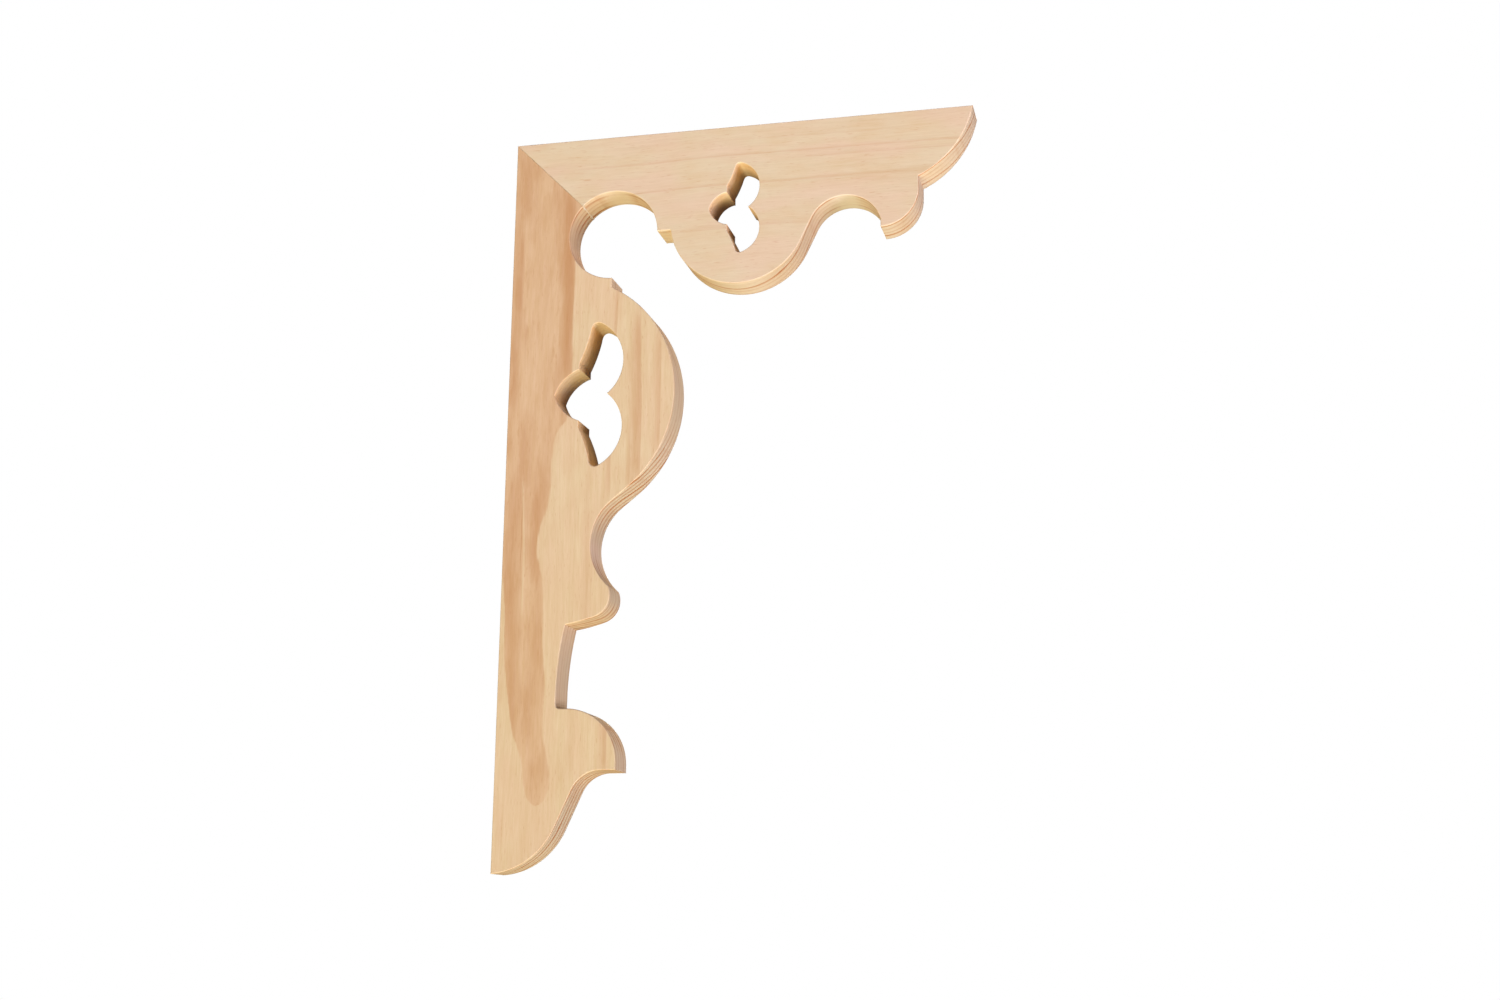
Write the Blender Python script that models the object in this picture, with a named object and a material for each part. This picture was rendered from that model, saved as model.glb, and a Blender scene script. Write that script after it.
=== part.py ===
"""Timber corner bracket: an upright leg and a level arm, fret-sawn and glued at a mitre.

World frame: +X from the post towards the tip of the arm, +Y from the front face
to the back, +Z up. The origin is the centre of the leg's flat post face.
Outlines are drawn in a plane of their own, as (reach from the post face,
height above the beam face), and moved to the world frame at the end.
"""
import math

import bmesh
import bpy

# Boards
BOARD_THICKNESS = 0.030
ARRIS = 0.0005
MITRE_GAP = 0.0003

# Cove at the inner corner
COVE_INSET = 0.0855
COVE_RADIUS = 0.0375

# Leg, from the cove down to the foot
LEG_WIDTH = 0.140
LEG_RISER = 0.0081
LEG_BELLY_RADIUS = 0.101
LEG_RUN = 0.0161
LEG_NECK_WIDTH = 0.0732
LEG_SCOOP_RADIUS = 0.045
LEG_SCOOP_END = 229.1
NOSE_RADIUS = 0.018
NOSE_START = 23.0
NOSE_END = -72.0
NOSE_UNDER_RADIUS = 0.150
NOTCH_WIDTH = 0.0481
NOTCH_LEAN = 0.0061
NOTCH_BEND = 0.057
NOTCH_STRAIGHT = 0.0054
NOTCH_FILLET = 0.0035
LOBE_SHELF = 0.0049
LEG_LOBE_RADIUS = 0.0415
LEG_BEAK = 0.0065
LEG_BEAK_FLAT = 0.012
TAIL_COVE_RADIUS = 0.025
TAIL_RUN = 0.0319
TAIL_BEARING = 176.5
TAIL_ROUND_RADIUS = 0.0588

# Arm, from the cove out to the tip
ARM_LEDGE = 0.0113
ARM_WIDTH = 0.1352
ARM_BELLY_RADIUS = 0.057
ARM_RUN = 0.0202
ARM_NECK_WIDTH = 0.0675
ARM_SCOOP_RADIUS = 0.030
ARM_SCOOP_END = 14.8
ARM_BEAK = 0.0065
ARM_LOBE_RADIUS = 0.0308
ARM_CUSP_RISE = 0.0095
ARM_TAIL_REACH = 0.0442
ARM_TAIL_RADIUS = 0.079

# Leg opening, from the middle of the belly
LEG_CROWN_REACH = -0.0091
LEG_CROWN_OFFSET = 0.0276
LEG_CROWN_RADIUS = 0.0358
LEG_SIDE_REACH = 0.0007
LEG_SIDE_OFFSET = 0.0094
LEG_SIDE_RADIUS = 0.0325
LEG_SHOULDER_REACH = -0.0098
LEG_SHOULDER_LENGTH = 0.0056
LEG_TIP_REACH = -0.0002
LEG_TIP_RADIUS = 0.005
LEG_TIP_BOW = 0.0010

# Arm opening, from a point below the middle of the arm's width
ARM_OPENING_DROP = 0.0029
ARM_CROWN_REACH = -0.0040
ARM_CROWN_OFFSET = 0.0178
ARM_CROWN_RADIUS = 0.0215
ARM_SIDE_REACH = -0.0066
ARM_SIDE_OFFSET = 0.0042
ARM_SIDE_RADIUS = 0.0182
ARM_SHOULDER_REACH = -0.0094
ARM_SHOULDER_LENGTH = 0.0054
ARM_TIP_REACH = -0.0023
ARM_TIP_RADIUS = 0.0035
ARM_TIP_BOW = 0.0005

# Both openings: where the side meets the round tip, in degrees
TIP_HEADING = 166.0

# How far a chord may stand off the true arc, and the nearest that two points may lie
ARC_SAG = 0.00004
POINT_SPACING = 0.00002

# Corners sharper than this get an eased arris
ARRIS_ANGLE = 35.0

PINE_HEART = (0.62, 0.36, 0.19, 1.0)
PINE_SAP = (0.78, 0.56, 0.36, 1.0)
PINE_ROUGHNESS = 0.55


def polar(centre, radius, heading):
    """Point at a distance from a centre, on a heading in degrees."""
    angle = math.radians(heading)
    return (centre[0] + radius * math.cos(angle), centre[1] + radius * math.sin(angle))


def heading_to(centre, point):
    """Heading in degrees from a centre to a point."""
    return math.degrees(math.atan2(point[1] - centre[1], point[0] - centre[0]))


def other_side(radius, side):
    """Second short side of a right triangle whose long side is the radius."""
    return math.sqrt(max(radius ** 2 - side ** 2, 0.0))


def arc(centre, radius, start, end):
    """Points along an arc between two headings in degrees, both ends included."""
    step = 2 * math.degrees(math.acos(1 - ARC_SAG / radius))
    count = max(2, math.ceil(abs(end - start) / step))
    return [polar(centre, radius, start + (end - start) * i / count) for i in range(count + 1)]


def arc_between(start, end, radius):
    """Points on the arc of a radius that joins two points, turning left on the way."""
    half_chord = math.dist(start, end) / 2
    way = heading_to(start, end)
    middle = polar(start, half_chord, way)
    centre = polar(middle, other_side(radius, half_chord), way + 90)
    half_turn = math.degrees(math.asin(min(half_chord / radius, 1.0)))
    return arc(centre, radius, way - 90 - half_turn, way - 90 + half_turn)


def centre_distance(radius_a, radius_b, run):
    """Distance between two rounds joined by a straight run that touches both from opposite sides."""
    return math.hypot(radius_a + radius_b, run)


def run_lean(radius_a, radius_b, run):
    """Angle at round A between the line of centres and the point where the run leaves it."""
    return math.degrees(math.atan2(run, radius_a + radius_b))


def mitre_heading(side):
    """Heading from the cove's centre to a member's mitre edge: side is 1 for the leg, -1 for the arm."""
    return 135 + side * math.degrees(math.asin(MITRE_GAP / 2 / COVE_RADIUS))


def cove_centre():
    """Centre of the cove, on the mitre line."""
    return (COVE_INSET, -COVE_INSET)


def leg_belly_centre():
    """Centre of the leg's belly, placed by the riser under the cove."""
    reach = LEG_WIDTH - LEG_BELLY_RADIUS
    top = -COVE_INSET - COVE_RADIUS - LEG_RISER
    return (reach, top - other_side(LEG_BELLY_RADIUS, COVE_INSET - reach))


def arm_belly_centre():
    """Centre of the arm's belly, placed by the ledge beside the cove."""
    height = ARM_BELLY_RADIUS - ARM_WIDTH
    ledge_end = COVE_INSET + COVE_RADIUS + ARM_LEDGE
    return (ledge_end + other_side(ARM_BELLY_RADIUS, height + COVE_INSET), height)


def leg_upper_edge():
    """Leg outline from the outer corner down the mitre, round the cove, the belly and the scoop."""
    belly = leg_belly_centre()
    points = [(0.0, -MITRE_GAP / math.sqrt(2))]
    points += arc(cove_centre(), COVE_RADIUS, mitre_heading(1), 270)
    riser_foot = (COVE_INSET, -COVE_INSET - COVE_RADIUS - LEG_RISER)
    span = centre_distance(LEG_BELLY_RADIUS, LEG_SCOOP_RADIUS, LEG_RUN)
    reach = LEG_NECK_WIDTH + LEG_SCOOP_RADIUS
    scoop = (reach, belly[1] - other_side(span, reach - belly[0]))
    leave = heading_to(belly, scoop) + run_lean(LEG_BELLY_RADIUS, LEG_SCOOP_RADIUS, LEG_RUN)
    points += arc(belly, LEG_BELLY_RADIUS, heading_to(belly, riser_foot), leave)
    points += arc(scoop, LEG_SCOOP_RADIUS, leave + 180, LEG_SCOOP_END)
    return points


def leg_lower_edge(nose_top):
    """Leg outline from the nose's corner round the notch, the lobe and the tail to the foot."""
    nose = polar(nose_top, NOSE_RADIUS, NOSE_START + 180)
    points = arc(nose, NOSE_RADIUS, NOSE_START, NOSE_END)
    under = polar(nose, NOSE_UNDER_RADIUS - NOSE_RADIUS, NOSE_END + 180)
    notch_reach = NOTCH_WIDTH + NOTCH_LEAN
    notch_top = (notch_reach, under[1] - other_side(NOSE_UNDER_RADIUS, notch_reach - under[0]))
    points += arc(under, NOSE_UNDER_RADIUS, NOSE_END, heading_to(under, notch_top))

    bend_radius = (NOTCH_BEND ** 2 + NOTCH_LEAN ** 2) / (2 * NOTCH_LEAN)
    bend = (NOTCH_WIDTH + bend_radius, notch_top[1] - NOTCH_BEND)
    points += arc(bend, bend_radius, heading_to(bend, notch_top) % 360, 180)
    fillet = (NOTCH_WIDTH + NOTCH_FILLET, bend[1] - NOTCH_STRAIGHT)
    points += arc(fillet, NOTCH_FILLET, 180, 270)

    shelf = fillet[1] - NOTCH_FILLET
    lobe = (fillet[0] + LOBE_SHELF, shelf - LEG_LOBE_RADIUS)
    points += arc(lobe, LEG_LOBE_RADIUS, 90, 0)
    beak = (lobe[0] + LEG_LOBE_RADIUS, lobe[1] - LEG_BEAK)
    points.append(beak)

    tail_cove = (beak[0] - LEG_BEAK_FLAT, beak[1] - TAIL_COVE_RADIUS)
    span = centre_distance(TAIL_COVE_RADIUS, TAIL_ROUND_RADIUS, TAIL_RUN)
    tail_round = polar(tail_cove, span, TAIL_BEARING)
    leave = TAIL_BEARING - run_lean(TAIL_COVE_RADIUS, TAIL_ROUND_RADIUS, TAIL_RUN)
    points += arc(tail_cove, TAIL_COVE_RADIUS, 90, leave)
    foot = (0.0, tail_round[1] - other_side(TAIL_ROUND_RADIUS, tail_round[0]))
    points += arc(tail_round, TAIL_ROUND_RADIUS, leave - 180, heading_to(tail_round, foot))
    return points


def leg_outline():
    """Closed outline of the leg; its last point is the foot of the post face."""
    upper = leg_upper_edge()
    return upper + leg_lower_edge(upper[-1])


def arm_outline():
    """Closed outline of the arm; its last point is the tip of the beam face."""
    belly = arm_belly_centre()
    points = [(MITRE_GAP / math.sqrt(2), 0.0)]
    points += arc(cove_centre(), COVE_RADIUS, mitre_heading(-1), 0)
    ledge_end = (COVE_INSET + COVE_RADIUS + ARM_LEDGE, -COVE_INSET)

    span = centre_distance(ARM_BELLY_RADIUS, ARM_SCOOP_RADIUS, ARM_RUN)
    height = -ARM_NECK_WIDTH - ARM_SCOOP_RADIUS
    scoop = (belly[0] + other_side(span, height - belly[1]), height)
    lean = run_lean(ARM_BELLY_RADIUS, ARM_SCOOP_RADIUS, ARM_RUN)
    leave = heading_to(belly, scoop) - lean + 360
    points += arc(belly, ARM_BELLY_RADIUS, heading_to(belly, ledge_end) % 360, leave)
    points += arc(scoop, ARM_SCOOP_RADIUS, leave - 180, ARM_SCOOP_END)

    lobe = (points[-1][0], points[-1][1] - ARM_BEAK + ARM_LOBE_RADIUS)
    points += arc(lobe, ARM_LOBE_RADIUS, -90, 0)
    cusp = (lobe[0] + ARM_LOBE_RADIUS, lobe[1] + ARM_CUSP_RISE)
    points += arc_between(cusp, (cusp[0] + ARM_TAIL_REACH, 0.0), ARM_TAIL_RADIUS)
    return points


def leaf_opening(centre, crown, side, shoulder, tip):
    """Closed outline of a pierced leaf, the same above and below the level line through its centre.

    crown is the (reach, offset, radius) of each large round, side that of the arcs
    that meet in the point, shoulder the (reach, length) of the blunt corner between
    them, and tip the (reach, radius, bow) of the round end.
    """
    crown_reach, crown_offset, crown_radius = crown
    side_reach, side_offset, side_radius = side
    shoulder_reach, shoulder_length = shoulder
    tip_reach, tip_radius, tip_bow = tip

    side_centre = (side_reach, -side_offset)
    point = (side_reach - other_side(side_radius, side_offset), 0.0)
    inner = (shoulder_reach, -side_offset + other_side(side_radius, side_reach - shoulder_reach))
    half = arc(side_centre, side_radius, heading_to(side_centre, point), heading_to(side_centre, inner))

    crown_centre = (crown_reach, crown_offset)
    tip_from_crown = tip_reach + tip_radius - crown_reach
    tip_centre = (tip_reach + tip_radius, crown_offset + other_side(crown_radius - tip_radius, tip_from_crown))
    outer = (shoulder_reach, inner[1] + shoulder_length)
    tip_start = polar(tip_centre, tip_radius, TIP_HEADING)
    chord = math.dist(outer, tip_start)
    bow_radius = (chord ** 2 / 4 + tip_bow ** 2) / (2 * tip_bow)
    half += arc_between(outer, tip_start, bow_radius)
    half += arc(tip_centre, tip_radius, TIP_HEADING, heading_to(crown_centre, tip_centre))
    cusp = (crown_reach + other_side(crown_radius, crown_offset), 0.0)
    crown_start = heading_to(crown_centre, tip_centre)
    half += arc(crown_centre, crown_radius, crown_start, heading_to(crown_centre, cusp))

    mirrored = [(reach, -offset) for reach, offset in reversed(half[1:-1])]
    return [(centre[0] + reach, centre[1] + offset) for reach, offset in half + mirrored]


def leg_opening():
    """Opening in the leg, level with the belly and in the middle of the leg's width."""
    centre = (LEG_WIDTH / 2, leg_belly_centre()[1])
    crown = (LEG_CROWN_REACH, LEG_CROWN_OFFSET, LEG_CROWN_RADIUS)
    side = (LEG_SIDE_REACH, LEG_SIDE_OFFSET, LEG_SIDE_RADIUS)
    shoulder = (LEG_SHOULDER_REACH, LEG_SHOULDER_LENGTH)
    return leaf_opening(centre, crown, side, shoulder, (LEG_TIP_REACH, LEG_TIP_RADIUS, LEG_TIP_BOW))


def arm_opening():
    """Opening in the arm, over the belly and just below the middle of the arm's width."""
    centre = (arm_belly_centre()[0], -ARM_WIDTH / 2 - ARM_OPENING_DROP)
    crown = (ARM_CROWN_REACH, ARM_CROWN_OFFSET, ARM_CROWN_RADIUS)
    side = (ARM_SIDE_REACH, ARM_SIDE_OFFSET, ARM_SIDE_RADIUS)
    shoulder = (ARM_SHOULDER_REACH, ARM_SHOULDER_LENGTH)
    return leaf_opening(centre, crown, side, shoulder, (ARM_TIP_REACH, ARM_TIP_RADIUS, ARM_TIP_BOW))


def without_repeats(points):
    """The outline without points that fall on the one before them."""
    kept = []
    for index, point in enumerate(points):
        if math.dist(point, points[index - 1]) > POINT_SPACING:
            kept.append(point)
    return kept


def pine(name, colour):
    """Bare dressed pine."""
    material = bpy.data.materials.new(name)
    material.use_nodes = True
    shader = material.node_tree.nodes["Principled BSDF"]
    shader.inputs["Base Color"].default_value = colour
    shader.inputs["Roughness"].default_value = PINE_ROUGHNESS
    shader.inputs["Metallic"].default_value = 0.0
    return material


def sawn_board(name, outlines, corner_height, material):
    """One board with its openings, sawn square through and with eased arrises."""
    mesh_builder = bmesh.new()
    for outline in outlines:
        verts = [mesh_builder.verts.new((reach, 0.0, height)) for reach, height in without_repeats(outline)]
        for index, vert in enumerate(verts):
            mesh_builder.edges.new((verts[index - 1], vert))
    bmesh.ops.triangle_fill(mesh_builder, use_beauty=True, edges=mesh_builder.edges[:])
    front = mesh_builder.faces[:]
    extruded = bmesh.ops.extrude_face_region(mesh_builder, geom=front, use_keep_orig=True)
    back = [item for item in extruded["geom"] if isinstance(item, bmesh.types.BMVert)]
    bmesh.ops.translate(mesh_builder, verts=back, vec=(0.0, BOARD_THICKNESS, 0.0))
    bmesh.ops.recalc_face_normals(mesh_builder, faces=mesh_builder.faces[:])

    mesh = bpy.data.meshes.new(name)
    mesh_builder.to_mesh(mesh)
    mesh_builder.free()
    mesh.materials.append(material)
    mesh.shade_smooth()
    mesh.set_sharp_from_angle(angle=math.radians(ARRIS_ANGLE))

    board = bpy.data.objects.new(name, mesh)
    board.location = (0.0, -BOARD_THICKNESS / 2, corner_height)
    bpy.context.collection.objects.link(board)
    arris = board.modifiers.new("Eased arrises", "BEVEL")
    arris.width = ARRIS
    arris.segments = 1
    arris.limit_method = "ANGLE"
    arris.angle_limit = math.radians(ARRIS_ANGLE)
    return board


def build_bracket():
    """Both members, with the origin at the centre of the post face."""
    leg = leg_outline()
    corner_height = -leg[-1][1] / 2
    sawn_board("post_leg", [leg, leg_opening()], corner_height, pine("Pine, heart figure", PINE_HEART))
    sawn_board("beam_arm", [arm_outline(), arm_opening()], corner_height, pine("Pine, sapwood", PINE_SAP))


for leftover in list(bpy.data.objects):
    bpy.data.objects.remove(leftover, do_unlink=True)
build_bracket()
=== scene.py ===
"""Timber corner bracket in bare pine: refined boards, figured wood, studio and camera.

Millimetres are used for everything that belongs to the wood's figure, metres for
geometry. Across, along and deep are measured from a board's outer edge, from the
outer corner of the bracket along the grain, and from the front face.
"""

import math

import bmesh
import bpy
import numpy as np
from mathutils import Euler, Matrix, Vector, noise


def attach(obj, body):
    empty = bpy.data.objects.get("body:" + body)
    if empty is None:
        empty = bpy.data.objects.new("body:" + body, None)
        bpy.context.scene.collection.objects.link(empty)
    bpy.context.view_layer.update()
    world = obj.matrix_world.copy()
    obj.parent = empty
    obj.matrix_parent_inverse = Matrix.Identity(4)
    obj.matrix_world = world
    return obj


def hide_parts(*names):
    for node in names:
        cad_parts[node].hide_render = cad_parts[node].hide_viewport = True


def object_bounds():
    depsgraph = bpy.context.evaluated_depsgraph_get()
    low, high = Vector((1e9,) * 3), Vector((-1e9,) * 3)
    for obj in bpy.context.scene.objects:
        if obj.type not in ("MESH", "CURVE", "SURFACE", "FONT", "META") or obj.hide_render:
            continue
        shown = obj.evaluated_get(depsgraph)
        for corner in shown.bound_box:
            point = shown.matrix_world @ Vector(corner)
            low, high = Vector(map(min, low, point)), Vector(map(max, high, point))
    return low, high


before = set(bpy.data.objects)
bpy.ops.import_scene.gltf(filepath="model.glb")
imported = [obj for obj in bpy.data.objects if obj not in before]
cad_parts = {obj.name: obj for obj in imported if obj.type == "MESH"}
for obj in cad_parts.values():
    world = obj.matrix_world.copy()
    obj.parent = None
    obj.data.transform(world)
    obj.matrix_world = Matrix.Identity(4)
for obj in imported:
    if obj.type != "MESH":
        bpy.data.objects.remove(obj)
cad_low, cad_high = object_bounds()

MM = 1000.0
TOP = cad_high.z
FRONT = cad_low.y
THICKNESS = cad_high.y - cad_low.y

# Refined boards, in metres and degrees
ARRIS_RADIUS = 0.0007
ARRIS_STEPS = 3
COLUMN_SPACING = 0.0009
CORNER_STEPS = 4
WALL_ROWS = 8
WELD = 0.000004
WALL_TOLERANCE = 3 * WELD
SHARPEST_SPREAD = 0.7
CREASE_ANGLE = 32

# Saw marks: facets longer than the dressed length were planed and have none
DRESSED_LENGTH = 0.060
SAW_DEPTH = 0.00003
SAW_PITCH = 0.0034
SAW_SLANT = 0.12
SWELL_ALONG = 40
SWELL_DEEP = 60
SWELL_PHASE = 3
SWELL_SHARE = 0.4

# Arrises that shrink along the mitre and where the wood is narrow
SEAM_RADIUS = 0.00012
SEAM_REACH = 0.0005
MEDIAL_FLOOR = 0.0000001
MEDIAL_SHARE = 0.8

# Outline reading: lengths in metres, turns in radians
CORNER_TURN = 0.21
CORNER_SAG = 0.00045
STRAIGHT_SAG = 0.0005
CHAMFER_LENGTH = 0.0009

# Glue in the mitre, in metres and degrees
MITRE_WIDEST = 0.0016
GLUE_HALF = 0.00015
GLUE_RECESS = 0.00022
GLUE_START = 0.0009
GLUE_STEPS = 48
BEAD_ROOT = 0.0006
BEAD_TUCK = 0.0003
BEAD_REACH = 0.00028
BEAD_WIDTH = 0.00075
BEAD_STEPS = 6
REACH_VARY = 0.00012
WIDTH_VARY = 0.0003
LUMP_WIDTH = 0.00012
VARY_SCALE = 300
VARY_AT = (0.3, 0.7)
LUMP_SCALE = 900
LUMP_AT = (5.1, 2.2)
GLUE_CREASE = 50

# Surface of the dried glue: sizes in millimetres, colours in display values
GLUE_CLOUD_SIZES = (2.5, 2.5, 2.5)
GLUE_CLOUD_SEED = 4.0
GLUE_CLOUD_DETAIL = 3.0
GLUE_CLOUDED = (-0.3, 0.3)
GLUE_CLEAR = (243, 226, 184)
GLUE_YELLOW = (226, 196, 142)
GLUE_ROUGH = 0.38
GLUE_ROUGH_VARY = 0.3

# Noises of the wood's figure: sizes across, along and deep in millimetres, seed step, detail, roughness
NOISES = {
    "drift": ((85, 240, 85), 0, 1.0, 0.5),
    "waver": ((13, 55, 13), 1, 2.0, 0.5),
    "patches": ((30, 120, 18), 2, 2.0, 0.5),
    "streak": ((2.4, 75, 2.4), 3, 3.0, 0.5),
    "fibre": ((0.75, 15, 0.75), 4, 3.0, 0.6),
    "blotch": ((9, 26, 9), 5, 2.0, 0.5),
    "jag": ((1.3, 20, 4), 6, 3.0, 0.5),
    "blush": ((26, 80, 26), 7, 3.0, 0.5),
    "canals": ((0.6, 6, 0.6), 8, 0.0, 0.5),
    "unrest": ((22, 160, 9), 9, 1.0, 0.5),
    "mottle": ((3.2, 24, 3.2), 10, 4.0, 0.62),
    "cloud": ((13, 55, 13), 11, 3.0, 0.5),
}
SEED_STRIDE = 3.7

# Noise values between which each figure goes from none to full; a mottle's last two are its shares
CANALS_SHOWN = (0.20, 0.34)
PATCHES_SHOWN = (-0.22, 0.20)
BLOTCH_SHOWN = (-0.25, 0.25)
BLUSH_SHOWN = (-0.10, 0.16)
CLOUD_SHOWN = (-0.14, 0.18)
MOTTLE_DEEP = (0.0, 0.30, 0.0, 0.6)
MOTTLE_PALE = (-0.02, -0.28, 0.0, 0.8)
BLUSH_SHARE = 0.7
CLOUD_STREAK = 0.35

# How far a surface faces away from the front and back, or along the grain, as a step from low to high
SAWN_FACING = (0.5, 0.9)
CROSSING_FACING = (0.12, 0.5)
LEVEL_FACING = (0.3, 0.7)
END_FACING = (0.15, 0.6)

# Late wood: shares of a year, the turn from one year to the next, and how far patches and openings fade it
FACE_EARLY = 0.35
FACE_FULL = 0.93
EDGE_FULL = 0.92
YEAR_TURN = 2.4
FACE_PATCHY = 0.8
EDGE_PATCHY = 0.45
OPENING_PLAIN = 0.8

# Eases and reaches of the figure, its tints, its painted shade and its painted light, in millimetres
STREAK_END = 0.9
OPENING_EASE = 3
# Depths over which the painted shade in the openings goes from its front tone to its dark back tone
OPENING_SHADE_DEPTH = (6, 27)
OUTER_EDGE = (1.0, 5.0)
PLAIN_EASE_ACROSS = 22
PLAIN_EASE_ALONG = 12
# Eases of the painted light that brightens single walls
LIT_WALL_EASE_ACROSS = 4
LIT_WALL_EASE_ALONG = 7
FAR_EASE = 90
# Across over which the painted shade on walls short of the inner edge fades from full to none
INNER_SHADE_FADE = (90, 135)
HEART_SPAN = 620
HEART_WIDTH = 80
HEART_RIGHT = (-0.9, 1.1)
HEART_LEFT = (-0.9, 0.9)
HEART_PALES = (10, 25)
GAP_LEAN_END = 350
GAP_LEAN = 0.05

# Surface of the bare wood
GRAIN_SATURATION = -1.2
FIBRE_ROUGH = 0.25
LATE_ROUGH = -0.06
WOOD_SPECULAR = 0.35
BUMP_STREAK = 0.5
BUMP_STRENGTH = 0.25
BUMP_DISTANCE = 0.0002

# Studio, in metres, watts and degrees; tones are linear, and a lamp's last value says if it glints
STUDIO_CENTRE = (0.15, 0.0, 0.0)
FLOOR_HEIGHT = -2.1
FLOOR_RADIUS = 9.0
FLOOR_CORNERS = 128
FLOOR_TONE = (0.80, 0.80, 0.80, 1.0)
SURROUND_RADIUS = 14.0
SURROUND_SEGMENTS = 64
SURROUND_RINGS = 32
SURROUND_TONE = (1.0, 1.0, 1.0, 1.0)
KEY_FROM = (-0.13, -0.62, -0.77)
KEY_STRENGTH = 2.57
KEY_TONE = (1.0, 0.98, 0.78)
KEY_ANGLE = 32.0
LAMP_SIZE = 1.6
LAMPS = (
    ("right", (3.75, -0.95, -1.3), 100.0, (0.94, 0.97, 1.55), True),
    ("top", (0.15, 0.9, 3.6), 75.0, (1.0, 0.98, 0.95), True),
    ("back", (-0.8, 4.3, 0.5), 110.0, (1.0, 0.98, 0.96), False),
)
WORLD_TONE = (1.0, 0.96, 1.22, 1.0)
WORLD_FRONT = 0.38
WORLD_BACK = 0.05
WORLD_EDGE = 0.25

# Camera: place in metres, lens and sensor in millimetres, turns in degrees
CAMERA_PLACE = (0.5336, -1.4244, -0.3526)
CAMERA_LENS = 45.82
CAMERA_SENSOR = 36.0
CAMERA_RISE = 13.1505
CAMERA_TURN = 13.2154
CAMERA_ROLL = 0.4605
CAMERA_NEAR = 0.05
CAMERA_FAR = 60.0


def wrapped(angle):
    """An angle between minus and plus half a turn."""
    return (angle + math.pi) % (2 * math.pi) - math.pi


def board_loops(node):
    """Closed outlines of a CAD board, as lists of (x, z), the outer one first."""
    builder = bmesh.new()
    builder.from_mesh(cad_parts[node].data)
    bmesh.ops.remove_doubles(builder, verts=builder.verts[:], dist=WELD)
    levels = sorted({round(vert.co.y, 5) for vert in builder.verts})
    wall_foot = levels[1]
    links = {}
    for edge in builder.edges:
        if all(abs(vert.co.y - wall_foot) < WALL_TOLERANCE for vert in edge.verts):
            first, second = edge.verts
            links.setdefault(first, []).append(second)
            links.setdefault(second, []).append(first)
    loops = []
    waiting = dict.fromkeys(links)
    while waiting:
        vert = next(iter(waiting))
        loop = []
        while vert is not None:
            loop.append((vert.co.x, vert.co.z))
            del waiting[vert]
            vert = next((other for other in links[vert] if other in waiting), None)
        loops.append(loop)
    builder.free()
    loops.sort(key=lambda loop: -abs(loop_area(loop)))
    return [loop if (loop_area(loop) > 0) == (index == 0) else loop[::-1]
            for index, loop in enumerate(loops)]


def loop_area(loop):
    """Signed area inside a loop."""
    return sum(loop[i - 1][0] * z - x * loop[i - 1][1] for i, (x, z) in enumerate(loop)) / 2


def end_bearings(loop):
    """Bearing of the true outline at both ends of each straight facet, with the facet's length."""
    count = len(loop)
    lengths = [math.dist(loop[i], loop[(i + 1) % count]) for i in range(count)]
    facing = [math.atan2(loop[(i + 1) % count][1] - loop[i][1], loop[(i + 1) % count][0] - loop[i][0])
              for i in range(count)]
    turns = [wrapped(facing[i] - facing[i - 1]) for i in range(count)]
    corner = [abs(turns[i]) > CORNER_TURN and abs(turns[i]) * max(lengths[i - 1], lengths[i]) > CORNER_SAG
              for i in range(count)]
    straight = [lengths[i] * min(abs(turns[i]), abs(turns[(i + 1) % count])) > STRAIGHT_SAG
                for i in range(count)]
    at_point = []
    for i in range(count):
        if straight[i - 1]:
            at_point.append(facing[i - 1])
        elif straight[i]:
            at_point.append(facing[i])
        else:
            at_point.append(facing[i - 1] + turns[i] * lengths[i - 1] / (lengths[i - 1] + lengths[i]))
    result = []
    for i in range(count):
        after = (i + 1) % count
        start = facing[i] + wrapped(at_point[i] - facing[i])
        end = facing[i] + wrapped(at_point[after] - facing[i])
        if straight[i] or (corner[i] and corner[after]):
            start = end = facing[i]
        elif corner[i]:
            start = 2 * facing[i] - end
        elif corner[after]:
            end = 2 * facing[i] - start
        result.append([start, end, lengths[i]])
    for i in range(count):
        if corner[i] and corner[(i + 1) % count] and lengths[i] < CHAMFER_LENGTH:
            result[i][0] = facing[i] + wrapped(result[i - 1][1] - facing[i])
            result[i][1] = facing[i] + wrapped(result[(i + 1) % count][0] - facing[i])
    return result


def round_outline(loop):
    """Closely spaced points on the true outline, each with its outward direction and its saw depth."""
    points = []
    depths = []
    for index, (start, end, length) in enumerate(end_bearings(loop)):
        a = Vector(loop[index])
        b = Vector(loop[(index + 1) % len(loop)])
        leave = Vector((math.cos(start), math.sin(start))) * length
        arrive = Vector((math.cos(end), math.sin(end))) * length
        steps = max(1, math.ceil(length / COLUMN_SPACING))
        if length < CHAMFER_LENGTH and abs(end - start) > CORNER_TURN:
            steps = CORNER_STEPS
        for step in range(steps):
            t = step / steps
            points.append(a * (2 * t ** 3 - 3 * t ** 2 + 1) + leave * (t ** 3 - 2 * t ** 2 + t)
                          + b * (3 * t ** 2 - 2 * t ** 3) + arrive * (t ** 3 - t ** 2))
            depths.append(0.0 if length > DRESSED_LENGTH else SAW_DEPTH)
    outward = []
    for i, point in enumerate(points):
        before = (point - points[i - 1]).normalized()
        after = (points[(i + 1) % len(points)] - point).normalized()
        bisector = (before + after).normalized()
        spread = max(bisector.dot(after), SHARPEST_SPREAD)
        outward.append(Vector((bisector.y, -bisector.x)) / spread)
    return points, outward, depths


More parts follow.
